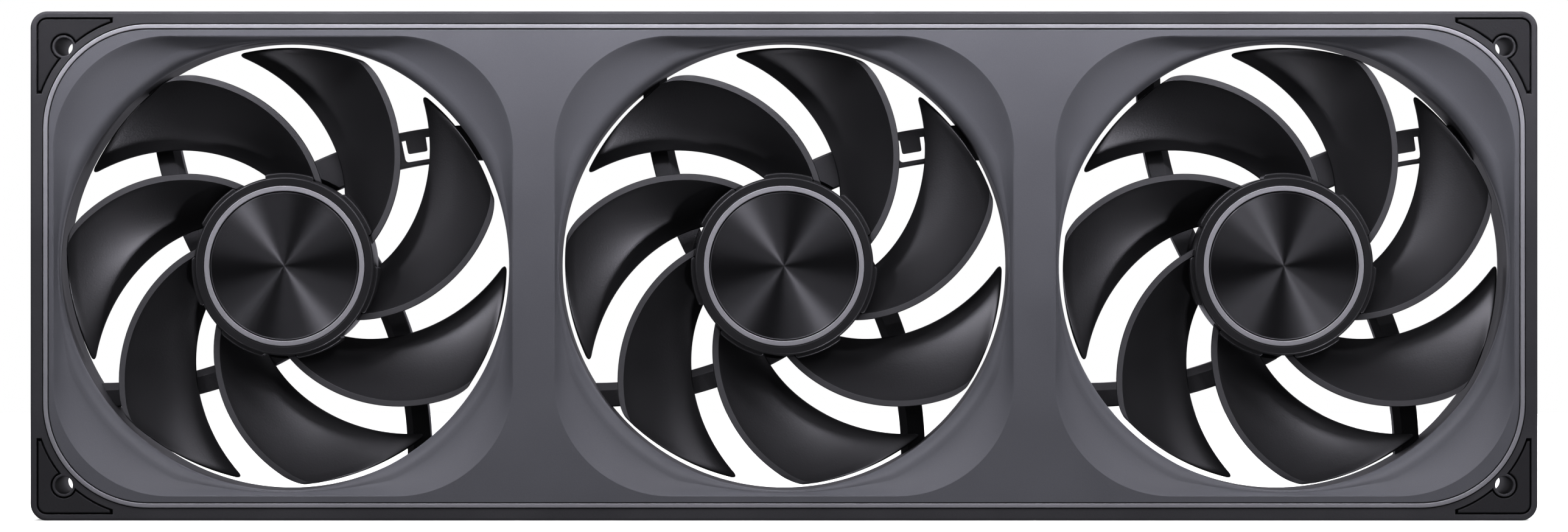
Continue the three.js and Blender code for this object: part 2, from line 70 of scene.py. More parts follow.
HOLE_X = 172.5  # mounting holes, from the unit's middle
HOLE_Y = 52.5
HOLE_R = 2.15
CORNER_R = 4
REAR_PLATE = 2.5
LAND = 2.9
OPENING_R = 25.4
RIM_GAP = 0.2
TRIM_WIDTH = 1.05
BORE_R = 54
DUCT_WALL = 1.8
DUCT_FRONT = 19.6
DISH_HALF = 54.9
DISH_CORNER_R = 27.8
DISH_BOTTOM = 22
DISH_WALL = 0.8  # the bezel's wall behind the dish's edge
DISH_FOOT_R, DISH_FOOT_REAR = 55.5, 19.9  # where that wall ends, round the bore
BEZEL_SKIN = 1.8
FLANGE_REAR, FLANGE_FRONT = 24.7, 26.1  # the bezel's flange, which lies under the trim ring
FLANGE_INSET = 2.2
TRIM_REAR = 26.4

PAD_INSET = 1.9
PAD_CORNER_R = 2
PAD_WEB = 2  # from the opening to a pad's long side
PAD_TIP = 0.6
PAD_TIP_TURN = 3  # degrees that a pad's tip draws back for each millimetre that the outline grows
PAD_GROOVE = 0.4
PAD_BITE_R = 3.15
PAD_THICK = 1.6
POCKET_FLOOR = 0.3  # left free under a pad

BLADES = 7
BLADE_ROOT_R = 21  # inside the hub's wall
BLADE_FOOT_R = 22  # the edges' curves run from here
BLADE_SPAN = 30
BLADE_TIP_R = 52.8
BLADE_FRONT = 21.2
BLADE_REAR = 10
BLADE_LAND = 1.45  # the flat along the leading edge, across it
BLADE_THICK = 1.1
BLADE_NOSE = 0.35
BLADE_TAIL = 0.3  # how far the trailing edge's nose stands out
BLADE_THINNING = 0.3  # how much thinner the blade is at its trailing edge
LAND_STEP = 0.12  # the drop from the leading edge's flat to the blade's face
TIP_ROUND = 0.45  # rounding of the blade's tip edge
# Rounding of the blade's outline where each edge meets the tip: how far in, then how far along the tip.
LEAD_CORNER = (2.4, 1.9)
TRAIL_CORNER = (1.5, 2.6)
HUB_R = 21.5
HUB_CHAMFER = 0.6
HUB_INNER_R = 18
HUB_FRONT = 24.2
HUB_FLOOR = 22.9
HUB_FACE = 1.3  # thickness of the hub's front
HUB_REAR = 6.6
COLLAR_R = 22.45  # of the low collar on each blade's root
COLLAR_FRONT = 22.4
COLLAR_FROM = 5.3  # degrees from the leading edge to the collar's start
COLLAR_TO = 1  # and from its end to the trailing edge
COLLAR_ROUND = 0.4
CAP_R = 17.75
CAP_GROOVE = 0.012  # depth of the rings turned into the cap
RING_INNER_R = 18
RING_OUTER_R = 19.25
RECESS_R = 19.4

STRUT_CENTRE = (60.7, 46.1)
STRUT_OUTER_R = 95
STRUT_WIDTH = 5.8
STRUT_BEVEL = 1.7
STRUT_FROM, STRUT_TO = -8, 38  # degrees along the ring that each strut is a slice of
CHANNEL_WIDTH = 8.6
CHANNEL_WALL = 1.2
SLOT_FROM, SLOT_TO = 7.5, 11.8  # the slot in the channel's web, in the same degrees
SLOT_LEG, SLOT_FOOT, SLOT_ROOT = 1, 1.9, 2  # its legs' and foot's widths, and how far the legs stop short
STEP_FROM = 21.5  # where the web steps down, again in degrees
STRUT_REAR = 1
STRUT_FRONT = 8
BASE_R = 21
BASE_INNER_R = 19.6
BASE_FLOOR = 2.5
BASE_RIM = 5.6
TUBE_OUTER_R, TUBE_INNER_R, TUBE_FRONT = 5.2, 3.9, 18  # the tube that holds the bearing
LABEL_POCKET_R, LABEL_POCKET_FLOOR = 16.4, 1
LABEL_R, LABEL_REAR, LABEL_FRONT = 16, 0.4, 0.8
UNDER_SKIRT = 6  # what reaches under the impeller's skirt stays below this
# Where the lead leaves the channel strut, and where it enters the motor's base: x from and to, then y.
OUTER_NOTCH = (42, 46.6, 31.6, 33.7)
BASE_NOTCH = (-1.4, 3.2, 18.8, 22.3)

DUCT_REAR = 1.3
BOSS_R = 4
BOSS_FRONT = 19
SCREW_HOLE_R = 1.75
SCREW_POCKET_R, SCREW_POCKET_DEPTH = 3.2, 2.3
SCREW_REAR, SCREW_TIP, SCREW_SHANK_R = 0.7, 24, 1.3
SCREW_HEAD_R, SCREW_HEAD_FRONT = 2.8, 2.2
CROSS_REACH, CROSS_HALF, CROSS_FLOOR = 1.5, 0.3, 1.5  # the recess in the screw's head
POST_OUTER_R, POST_INNER_R = 2.9, 1.7  # the bezel's screw posts
POST_REAR, POST_FRONT = 19.3, 26.5
BOSSES = [(-60, 50.5), (60, 44), (-60, -50.5), (60, -50.5), (-168, 46), (168, 46), (-168, -46), (168, -46)]
SOCKET_X = 60
SOCKET_Z = 7
SOCKET_WIDTH = 14
SOCKET_HEIGHT = 6
SOCKET_GAP = 0.3  # round the socket in its window

EDGE = 0.7  # rounding of the chassis's outer edges
SOFT = 0.25  # rounding of small edges
ROUND = 192  # sides of a full circle on the bores and dishes
HUB_SIDES = 160
DISH_LIP = 0.3  # where the dish meets the face
BORE_LIP = 3.4  # where the dish turns down into the bore
CORNERS = {
    "top_right": (1, 1),
    "top_left": (-1, 1),
    "bottom_left": (-1, -1),
    "bottom_right": (1, -1),
}


# ---- Outlines --------------------------------------------------------------------------------------
def arc(cx, cy, r, start, end, steps):
    """Points along an arc between two angles in degrees, anticlockwise from +x."""
    angles = [math.radians(start + (end - start) * i / steps) for i in range(steps + 1)]
    return [(cx + r * math.cos(a), cy + r * math.sin(a)) for a in angles]


def circle(r, sides=ROUND):
    return arc(0, 0, r, 0, 360, sides)[:-1]


def rounded_rect(width, height, r, steps=14):
    x, y = width / 2 - r, height / 2 - r
    quarters = [(x, y, 0), (-x, y, 90), (-x, -y, 180), (x, -y, 270)]
    return [p for cx, cy, start in quarters for p in arc(cx, cy, r, start, start + 90, steps)]


def frame_outline(inset):
    return rounded_rect(LENGTH - 2 * inset, HEIGHT - 2 * inset, CORNER_R - inset)


def opening_outline(inset):
    margin = 2 * (LAND + inset)
    return rounded_rect(LENGTH - margin, HEIGHT - margin, OPENING_R - inset, 28)


def dish_edge(angle):
    """How far the dish's rounded-square edge is from the fan's axis, along the ray at an angle."""
    c, s = abs(math.cos(angle)), abs(math.sin(angle))
    flat = DISH_HALF / max(c, s)
    centre = DISH_HALF - DISH_CORNER_R
    if min(c, s) * flat <= centre:
        return flat
    along = centre * (c + s)
    return along + math.sqrt(along**2 - 2 * centre**2 + DISH_CORNER_R**2)


def pad_outline(sx, sy, grow):
    """A corner pad: two straight legs, a long side round the opening's corner, and a bite for the screw."""
    edge_x, edge_y = LENGTH / 2 - PAD_INSET, HEIGHT / 2 - PAD_INSET
    centre = Vector((LENGTH / 2 - LAND - OPENING_R, HEIGHT / 2 - LAND - OPENING_R))
    hole = Vector((HOLE_X, HOLE_Y))
    long_r = OPENING_R + PAD_WEB
    top_tip = math.degrees(math.asin((edge_y - PAD_TIP - centre.y) / long_r)) + grow * PAD_TIP_TURN
    side_tip = math.degrees(math.acos((edge_x - PAD_TIP - centre.x) / long_r)) - grow * PAD_TIP_TURN
    r, bite = long_r - grow, PAD_BITE_R - grow
    away = hole - centre
    towards = math.degrees(math.atan2(away.y, away.x))
    mouth = math.degrees(math.acos((away.length**2 + r**2 - bite**2) / (2 * away.length * r)))
    lip = math.degrees(math.acos((away.length**2 + bite**2 - r**2) / (2 * away.length * bite)))
    upper = arc(centre.x, centre.y, r, top_tip, towards + mouth, 12)
    lower = arc(centre.x, centre.y, r, towards - mouth, side_tip, 12)
    corner = arc(edge_x - PAD_CORNER_R, edge_y - PAD_CORNER_R, PAD_CORNER_R + grow, 0, 90, 8)
    bite_arc = arc(hole.x, hole.y, bite, towards + 180 - lip, towards - 180 + lip, 28)[1:-1]
    top_end, side_end = (upper[0][0], edge_y + grow), (edge_x + grow, lower[-1][1])
    outline = corner + [top_end] + upper + bite_arc + lower + [side_end]
    return [(x * sx, y * sy) for x, y in outline]


def pad_at(sx, sy, margin=0.0):
    """One corner's pad outline as a function of its growth beyond a margin."""
    return lambda grow: pad_outline(sx, sy, margin + grow)


def eased(corners, steps=5):
    """A profile of (a, b, radius) corners, each rounded by its radius. An open one's ends have none."""
    points = []
    for i, (a, b, r) in enumerate(corners):
        here = Vector((a, b))
        if r == 0:
            points.append((a, b))
            continue
        back = (Vector(corners[i - 1][:2]) - here).normalized()
        ahead = (Vector(corners[(i + 1) % len(corners)][:2]) - here).normalized()
        half = back.angle(ahead) / 2
        centre = here + (back + ahead).normalized() * (r / math.sin(half))
        start = here + back * (r / math.tan(half)) - centre
        end = here + ahead * (r / math.tan(half)) - centre
        sweep = math.atan2(start.cross(end), start.dot(end))
        points += [tuple(centre + Matrix.Rotation(sweep * k / steps, 2) @ start) for k in range(steps + 1)]
    return points


def lip(z, r=SOFT, side=1, steps=4):
    """A cutter's (grow, z) mouth that leaves the edge at height z rounded; side 1 opens towards +z."""
    turns = [math.pi / 2 * k / steps for k in range(steps + 1)]
    flare = [(r * (1 - math.cos(t)), z - side * r * (1 - math.sin(t))) for t in turns]
    return flare + [(r, z + side)]


# ---- Meshes ----------------------------------------------------------------------------------------
def skin(loops, closed=False):
    """Faces between neighbouring loops. The ends are capped, unless the loops close on themselves."""
    count = len(loops[0])
    verts = [p for loop in loops for p in loop]
    faces = []
    for i in range(len(loops) if closed else len(loops) - 1):
        here, there = i * count, (i + 1) % len(loops) * count
        for j in range(count):
            k = (j + 1) % count
            faces.append((here + j, here + k, there + k, there + j))
    if not closed:
        faces.append(tuple(reversed(range(count))))
        faces.append(tuple(range(len(verts) - count, len(verts))))
    mesh = bpy.data.meshes.new("shape")
    mesh.from_pydata(verts, [], faces)
    outward = bmesh.new()
    outward.from_mesh(mesh)
    bmesh.ops.remove_doubles(outward, verts=outward.verts, dist=1e-5)
    bmesh.ops.recalc_face_normals(outward, faces=outward.faces)
    outward.to_mesh(mesh)
    outward.free()
    return mesh


def lofted(outline, profile, closed=False):
    """An outline drawn at each (size, z) of a profile."""
    return skin([[(x, y, z) for x, y in outline(size)] for size, z in profile], closed)


def turned(profile, sides=HUB_SIDES, closed=False):
    return lofted(lambda r: circle(r, sides), profile, closed)


def swept(section, centre, start, end, steps):
    """A closed (r, z) section carried along an arc, in degrees."""
    angles = [math.radians(start + (end - start) * i / steps) for i in range(steps + 1)]
    cx, cy = centre
    return skin([[(cx + r * math.cos(a), cy + r * math.sin(a), z) for r, z in section] for a in angles])


def moved(mesh, x=0.0, y=0.0, turn=0.0):
    copy = mesh.copy()
    copy.transform(Matrix.Translation((x, y, 0)) @ Matrix.Rotation(math.radians(turn), 4, "Z"))
    return copy


def slab(x0, x1, y0, y1, z0, z1):
    return skin([[(x0, y0, z), (x1, y0, z), (x1, y1, z), (x0, y1, z)] for z in (z0, z1)])


def together(meshes):
    """Meshes that don't touch, as one mesh."""
    whole = bmesh.new()
    for mesh in meshes:
        whole.from_mesh(mesh)
    mesh = bpy.data.meshes.new("shape")
    whole.to_mesh(mesh)
    whole.free()
    return mesh


def carved(base, *steps):
    """base after a run of (operation, mesh) booleans."""
    made = [bpy.data.objects.new("work", mesh) for mesh in [base] + [mesh for _, mesh in steps]]
    for obj in made:
        bpy.context.scene.collection.objects.link(obj)
    for (operation, _), tool in zip(steps, made[1:]):
        boolean = made[0].modifiers.new(operation, "BOOLEAN")
        boolean.operation = operation
        boolean.solver = "MANIFOLD"
        boolean.object = tool
    bpy.context.view_layer.update()
    result = bpy.data.meshes.new_from_object(made[0].evaluated_get(bpy.context.evaluated_depsgraph_get()))
    for obj in made:
        bpy.data.objects.remove(obj)
    return result


# From face-on millimetres to the frame, with the unit's middle at the origin.
TO_FRAME = Matrix(((MM, 0, 0, 0), (0, 0, -MM, DEPTH / 2 * MM), (0, MM, 0, 0), (0, 0, 0, 1)))


def ready(mesh, material, sharp=24):
    """Turns a finished shape into the frame, with its material and its smooth and sharp edges."""
    mesh.transform(TO_FRAME)
    mesh.materials.clear()
    mesh.materials.append(material)
    mesh.shade_smooth()
    mesh.set_sharp_from_angle(angle=math.radians(sharp))
    return mesh


def piece(node, mesh, body="frame", x=0.0):
    """Puts a shape in place of one CAD node, with its origin on the unit's or the fan's axis."""
    obj = bpy.data.objects.new(node + "_detailed", mesh)
    bpy.context.scene.collection.objects.link(obj)
    obj.location = (x * MM, 0, HEIGHT / 2 * MM)
    weighted = obj.modifiers.new("flat faces stay flat", "WEIGHTED_NORMAL")
    weighted.keep_sharp = True
    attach(obj, body)
    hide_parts(node)
    return obj


# ---- Materials -------------------------------------------------------------------------------------
def socket_input(node, name, value):
    """Links a socket to an input, or sets the input's own value."""
    if isinstance(value, bpy.types.NodeSocket):
        node.id_data.links.new(value, node.inputs[name])
    else:
        node.inputs[name].default_value = value


def add(tree, kind, inputs=None, **settings):
    node = tree.nodes.new(kind)
    for name, value in settings.items():
        setattr(node, name, value)
    for name, value in (inputs or {}).items():
        socket_input(node, name, value)
    return node


def noise(tree, where, scale, detail=3.0):
    inputs = {"Vector": where, "Scale": scale, "Detail": detail, "Roughness": 0.6}
    return add(tree, "ShaderNodeTexNoise", inputs).outputs["Fac"]


def blend_colour(tree, factor, dark, light):
    ramp = add(tree, "ShaderNodeValToRGB", {"Fac": factor})
    ramp.color_ramp.elements[0].position = 0.3
    ramp.color_ramp.elements[1].position = 0.7
    ramp.color_ramp.elements[0].color = (*dark, 1)
    ramp.color_ramp.elements[1].color = (*light, 1)
    return ramp.outputs["Color"]


def spread(tree, factor, low, high):
    inputs = {"Value": factor, "From Min": 0.3, "From Max": 0.7, "To Min": low, "To Max": high}
    return add(tree, "ShaderNodeMapRange", inputs).outputs["Result"]


PATCHES = 45.0  # slow changes of colour and roughness, in cells per metre
FINISHES = {}


def finish(name, dark, light, rough, grain, depth, specular=0.5, metallic=0.0):
    """A moulded, coated or metal finish.

    dark and light are the two colours that it varies between, rough its roughness range, grain the size of
    its texture in cells per metre, and depth that texture's height in metres.
    """
    material = bpy.data.materials.new(name)
    material.use_nodes = True
    tree = material.node_tree
    shader = tree.nodes["Principled BSDF"]
    where = add(tree, "ShaderNodeTexCoord").outputs["Object"]
    fine = noise(tree, where, grain, 4)
    slow = noise(tree, where, PATCHES, 2)
    mixed = add(tree, "ShaderNodeMath", {0: fine, 1: slow}, operation="ADD")
    halved = add(tree, "ShaderNodeMath", {0: mixed.outputs[0], 1: 0.5}, operation="MULTIPLY")
    socket_input(shader, "Base Color", blend_colour(tree, halved.outputs[0], dark, light))
    socket_input(shader, "Roughness", spread(tree, slow, *rough))
    bump = add(tree, "ShaderNodeBump", {"Height": fine, "Distance": depth, "Strength": 0.6})
    socket_input(shader, "Normal", bump.outputs["Normal"])
    shader.inputs["Specular IOR Level"].default_value = specular
    shader.inputs["Metallic"].default_value = metallic
    FINISHES[name] = material


def spun_finish(name):
    """Dark turned metal: fine rings round the fan's axis, and a sheen that fans out across them."""
    material = bpy.data.materials.new(name)
    material.use_nodes = True
    tree = material.node_tree
    shader = tree.nodes["Principled BSDF"]
    where = add(tree, "ShaderNodeTexCoord").outputs["Object"]
    axes = add(tree, "ShaderNodeSeparateXYZ", {"Vector": where})
    across = add(tree, "ShaderNodeCombineXYZ", {"X": axes.outputs["X"], "Y": axes.outputs["Z"]})
    radius = add(tree, "ShaderNodeVectorMath", {0: across.outputs[0]}, operation="LENGTH").outputs["Value"]
    fine = {"W": radius, "Scale": 9000.0, "Detail": 3.0}
    rings = add(tree, "ShaderNodeTexNoise", fine, noise_dimensions="1D").outputs["Fac"]
    colour = blend_colour(tree, rings, (0.2, 0.2, 0.204), (0.32, 0.32, 0.326))
    socket_input(shader, "Base Color", colour)
    bump = add(tree, "ShaderNodeBump", {"Height": rings, "Distance": 6e-6, "Strength": 0.5})
    socket_input(shader, "Normal", bump.outputs["Normal"])
    tangent = add(tree, "ShaderNodeTangent", direction_type="RADIAL", axis="Y")
    socket_input(shader, "Tangent", tangent.outputs["Tangent"])
    shader.inputs["Metallic"].default_value = 1.0
    shader.inputs["Roughness"].default_value = 0.26
    shader.inputs["Anisotropic"].default_value = 0.9
    shader.inputs["Anisotropic Rotation"].default_value = 0.25
    FINISHES[name] = material


finish("chassis_plastic", (0.012, 0.012, 0.0124), (0.018, 0.018, 0.0185), (0.5, 0.6), 2600, 4e-5, 0.35)
finish("bezel_coating", (0.0385, 0.0395, 0.042), (0.0475, 0.049, 0.052), (0.5, 0.6), 3200, 2.5e-5, 0.4)
finish("trim_metal", (0.11, 0.11, 0.112), (0.135, 0.135, 0.138), (0.4, 0.48), 3000, 1e-5)
finish("pad_rubber", (0.005, 0.005, 0.0052), (0.008, 0.008, 0.0082), (0.65, 0.8), 2200, 6e-5, 0.3)
finish("impeller_plastic", (0.004, 0.004, 0.0041), (0.0055, 0.0055, 0.0056), (0.35, 0.41), 2600, 4e-5, 0.7)
# The flat along each blade's leading edge: the impeller's black plastic made lighter, a painted highlight
# where the flat catches light.
finish("blade_land_painted_highlight", (0.02, 0.02, 0.0203), (0.028, 0.028, 0.0284), (0.45, 0.55), 3000, 3e-5)
finish("hub_ring_coating", (0.12, 0.12, 0.122), (0.15, 0.15, 0.152), (0.4, 0.5), 3000, 1e-5)
spun_finish("spun_metal")
finish("motor_steel", (0.38, 0.39, 0.4), (0.5, 0.51, 0.52), (0.3, 0.45), 1800, 1e-5, metallic=1.0)
finish("magnet", (0.03, 0.028, 0.027), (0.05, 0.047, 0.045), (0.55, 0.7), 2400, 3e-5)
finish("bearing_brass", (0.5, 0.34, 0.13), (0.6, 0.42, 0.17), (0.3, 0.4), 2000, 8e-6, metallic=1.0)
finish("winding", (0.4, 0.13, 0.05), (0.62, 0.24, 0.1), (0.3, 0.45), 3200, 8e-5, metallic=1.0)
finish("circuit_board", (0.005, 0.02, 0.01), (0.01, 0.04, 0.02), (0.4, 0.55), 900, 2e-5)
finish("lead_jacket", (0.006, 0.006, 0.006), (0.014, 0.014, 0.014), (0.45, 0.6), 1500, 3e-5)
finish("label_film", (0.022, 0.022, 0.024), (0.03, 0.03, 0.032), (0.35, 0.5), 1200, 1e-5)
finish("socket_plastic", (0.012, 0.012, 0.012), (0.02, 0.02, 0.02), (0.45, 0.6), 2600, 4e-5)
finish("contact_brass", (0.6, 0.42, 0.17), (0.72, 0.52, 0.22), (0.22, 0.32), 1500, 6e-6, metallic=1.0)
finish("screw_steel", (0.05, 0.05, 0.052), (0.1, 0.1, 0.105), (0.35, 0.5), 2400, 1e-5, metallic=1.0)
finish("floor_paper", (0.78, 0.796, 0.71), (0.8, 0.816, 0.727), (0.8, 0.9), 400, 1e-4, 0.1)


# ---- Chassis ---------------------------------------------------------------------------------------
def strut(section, turn):
    band = swept(section, STRUT_CENTRE, 180 + STRUT_FROM, 180 + STRUT_TO, 56)
    return moved(band, turn=turn)


def plain_strut(turn):
    inner, outer = STRUT_OUTER_R - STRUT_WIDTH, STRUT_OUTER_R
    corners = [
        (inner, STRUT_REAR, 0.4),
        (outer, STRUT_REAR, 0.4),
        (outer, STRUT_FRONT, 0.4),
        (inner + STRUT_BEVEL, STRUT_FRONT, 0.2),
        (inner, STRUT_FRONT - STRUT_BEVEL, 0.2),
    ]
    return strut(eased(corners), turn)


def channel_slot():
    """The U-shaped cut round the channel's tab, drawn along the channel's middle and then bent with it."""
    middle = STRUT_OUTER_R - CHANNEL_WIDTH / 2
    width = math.radians(SLOT_TO - SLOT_FROM) * middle
    low = STRUT_OUTER_R - CHANNEL_WIDTH + CHANNEL_WALL
    high = STRUT_OUTER_R - SLOT_ROOT
    corners = [
        (low, 0, 0.9),
        (high, 0, 0.25),
        (high, SLOT_LEG, 0.25),
        (low + SLOT_FOOT, SLOT_LEG, 0.5),
        (low + SLOT_FOOT, width - SLOT_LEG, 0.5),
        (high, width - SLOT_LEG, 0.25),
        (high, width, 0.25),
        (low, width, 0.9),
    ]
    bent = [(r, math.radians(180 + SLOT_FROM) + along / middle) for r, along in eased(corners, 6)]
    cx, cy = STRUT_CENTRE
    outline = [(cx + r * math.cos(a), cy + r * math.sin(a)) for r, a in bent]
    return skin([[(x, y, z) for x, y in outline] for z in (STRUT_FRONT - 2, STRUT_FRONT + 1)])


def channel_strut(turn):
    """The channel that carries the motor's lead, open at the rear, with a tab cut into its web.

    The web steps down where it passes under the impeller's skirt.
    """
    inner, outer = STRUT_OUTER_R - CHANNEL_WIDTH, STRUT_OUTER_R
    web = STRUT_FRONT - 1
    corners = [
        (inner, STRUT_REAR, 0.3),
        (inner + CHANNEL_WALL, STRUT_REAR, 0.3),
        (inner + CHANNEL_WALL, web, 0),
        (outer - CHANNEL_WALL, web, 0),
        (outer - CHANNEL_WALL, STRUT_REAR, 0.3),
        (outer, STRUT_REAR, 0.3),
        (outer, STRUT_FRONT, 0.5),
        (inner, STRUT_FRONT, 0.5),
    ]
    low_r, high_r = inner + 0.1, outer - 0.1
    low, high = UNDER_SKIRT - 0.5, UNDER_SKIRT
    step = [(low_r, low), (high_r, low), (high_r, high), (low_r, high)]
    lower_web = swept(step, STRUT_CENTRE, 180 + STEP_FROM, 180 + STRUT_TO, 24)
    return carved(
        strut(eased(corners), turn),
        ("UNION", moved(lower_web, turn=turn)),
        ("DIFFERENCE", moved(channel_slot(), turn=turn)),
    )


def motor_base():
    """The cup under the motor, with the tube that holds the bearing."""
    profile = [
        (0.2, LABEL_POCKET_FLOOR, 0),
        (LABEL_POCKET_R, LABEL_POCKET_FLOOR, 0.15),
        (LABEL_POCKET_R, BACK, 0.15),
        (BASE_R, BACK, 0.4),
        (BASE_R, BASE_RIM, SOFT),
        (BASE_INNER_R, BASE_RIM, SOFT),
        (BASE_INNER_R, BASE_FLOOR, 0.3),
        (TUBE_OUTER_R, BASE_FLOOR, 0.4),
        (TUBE_OUTER_R, TUBE_FRONT, 0.2),
        (TUBE_INNER_R, TUBE_FRONT, 0.2),
        (TUBE_INNER_R, BASE_FLOOR, 0),
        (0.2, BASE_FLOOR, 0),
    ]
    return turned(eased(profile, 3))


def spider():
    struts = carved(
        channel_strut(-90),
        ("UNION", plain_strut(0)),
        ("UNION", plain_strut(90)),
        ("UNION", plain_strut(180)),
        ("INTERSECT", turned([(BORE_R + 1, 0), (BORE_R + 1, STRUT_FRONT + 1)])),
        ("DIFFERENCE", turned([(BASE_R - 0.7, 0), (BASE_R - 0.7, STRUT_FRONT + 1)])),
        ("DIFFERENCE", turned([(HUB_R + 1, UNDER_SKIRT), (HUB_R + 1, STRUT_FRONT + 1)])),
    )
    return carved(motor_base(), ("UNION", struts))


def hole_cutter(r, x, y, z0, z1):
    """A hole's cutter, with the edge at each end rounded."""
    profile = [(r + grow, z) for grow, z in reversed(lip(z0, SOFT, -1))]
    profile += [(r + grow, z) for grow, z in lip(z1)]
    return moved(turned(profile, 48), x, y)


def screw_pocket_cutter(x, y):
    profile = [(SCREW_POCKET_R + grow, z) for grow, z in reversed(lip(BACK, SOFT, -1))]
    profile.append((SCREW_POCKET_R, BACK + SCREW_POCKET_DEPTH))
    return moved(turned(profile, 48), x, y)


def duct():
    """The duct before its bore is cut."""
    outer, inner = BORE_R + DUCT_WALL, 4
    low, high = DUCT_REAR, DUCT_FRONT
    return turned(eased([(inner, low, 0), (outer, low, 0), (outer, high, 0.3), (inner, high, 0)]), ROUND)


def bore():
    profile = [(BORE_R + grow, z) for grow, z in reversed(lip(BACK, 0.8, -1))]
    profile += [(BORE_R + grow, z) for grow, z in lip(DUCT_FRONT, 0.5)]
    return lofted(circle, profile)


def boss():
    profile = [(0.5, DUCT_REAR, 0), (BOSS_R, DUCT_REAR, 0), (BOSS_R, BOSS_FRONT, 0.3), (0.5, BOSS_FRONT, 0)]
    return turned(eased(profile), 48)


def socket_window():
    """The window in the upper side, drawn flat and then turned up to face +y."""

    def outline(grow):
        margin = SOCKET_GAP + grow
        return rounded_rect(SOCKET_WIDTH + 2 * margin, SOCKET_HEIGHT + 2 * margin, 0.5 + grow)

    window = lofted(outline, [(0, HEIGHT / 2 - 4)] + lip(HEIGHT / 2))
    window.transform(Matrix(((1, 0, 0, SOCKET_X), (0, 0, 1, 0), (0, 1, 0, SOCKET_Z), (0, 0, 0, 1))))
    window.flip_normals()
    return window


def pad_pockets():
    """Where the pads lie: the front ones' pockets, then the rear ones'."""
    front = [(0, FRONT - PAD_THICK - POCKET_FLOOR)] + lip(FRONT, 0.15)
    rear = list(reversed(lip(BACK, 0.15, -1))) + [(0, PAD_THICK + POCKET_FLOOR)]
    return [
        together([lofted(pad_at(sx, sy, PAD_GROOVE), profile) for sx, sy in CORNERS.values()])
        for profile in (front, rear)
    ]


def chassis():
    block_profile = [
        (3, BACK, 0),
        (0, BACK, EDGE),
        (0, FRONT, EDGE),
        (3, FRONT, 0),
    ]
    block = lofted(frame_outline, eased(block_profile, 6))
    mouth = [(-grow, z) for grow, z in lip(FRONT, 0.12)]
    cavity = lofted(opening_outline, [(0, BACK + REAR_PLATE)] + mouth)
    front_pockets, rear_pockets = pad_pockets()
    seat = spider()
    outer_notch = slab(*OUTER_NOTCH, BASE_FLOOR + 0.1, BASE_RIM)
    base_notch = slab(*BASE_NOTCH, BASE_FLOOR + 0.1, BASE_RIM + 0.1)
    mounting = [hole_cutter(HOLE_R, sx * HOLE_X, sy * HOLE_Y, BACK, FRONT) for sx, sy in CORNERS.values()]
    return carved(
        block,
        ("DIFFERENCE", cavity),
        ("UNION", together([moved(duct(), x) for x in FAN_X])),
        ("UNION", together([moved(boss(), x, y) for x, y in BOSSES])),
        ("DIFFERENCE", together([moved(bore(), x) for x in FAN_X])),
        ("UNION", together([moved(seat, x) for x in FAN_X])),
        ("DIFFERENCE", together([moved(outer_notch, x) for x in FAN_X])),
        ("DIFFERENCE", together([moved(base_notch, x) for x in FAN_X])),
        ("DIFFERENCE", together(mounting)),
        ("DIFFERENCE", together([hole_cutter(SCREW_HOLE_R, x, y, -1, BOSS_FRONT) for x, y in BOSSES])),
        ("DIFFERENCE", together([screw_pocket_cutter(x, y) for x, y in BOSSES])),
        ("DIFFERENCE", front_pockets),
        ("DIFFERENCE", rear_pockets),
        ("DIFFERENCE", socket_window()),
    )


# ---- Bezel and trim --------------------------------------------------------------------------------
def dish_cutter(steps=10):
    """What the dish and the bore take out of the bezel: sections from above the face down to behind it."""

    def section(angle):
        edge = dish_edge(angle)
        lip_r = min(BORE_LIP, 0.45 * (edge - BORE_R))
        end = BORE_R + lip_r
        fall = (FRONT - DISH_BOTTOM) * (edge - end) / (edge - BORE_R)
        slope = []
        for i in range(1, steps + 1):
            t = i / steps
            slope.append((edge + (end - edge) * t, FRONT - DISH_LIP / 2 - fall * (1.5 * t - 0.5 * t * t)))
        bottom = slope[-1][1]
        turns = [math.pi / 2 * k / 6 for k in range(1, 7)]
        roll = [(BORE_R + lip_r * (1 - math.sin(a)), bottom - lip_r * (1 - math.cos(a))) for a in turns]
        profile = [(edge + DISH_LIP, FRONT + 1), (edge + DISH_LIP, FRONT), (edge, FRONT - DISH_LIP / 2)]
        profile += slope + roll + [(BORE_R, DUCT_FRONT - 1)]
        return [(r * math.cos(angle), r * math.sin(angle), z) for r, z in profile]

    sections = [section(2 * math.pi * i / ROUND) for i in range(ROUND)]
    return skin([list(loop) for loop in zip(*sections)])


def dish_back():
    """The bezel's wall behind one dish, from the duct's front out to the face."""
    angles = [2 * math.pi * i / ROUND for i in range(ROUND)]
    rear = [(DISH_FOOT_R, DISH_FOOT_REAR), (DISH_FOOT_R + 0.2, DISH_BOTTOM)]
    loops = [[(r * math.cos(a), r * math.sin(a), z) for a in angles] for r, z in rear]
    edge = [(dish_edge(a) + DISH_WALL, a) for a in angles]
    loops.append([(r * math.cos(a), r * math.sin(a), FRONT - BEZEL_SKIN + 0.6) for r, a in edge])
    return skin(loops)


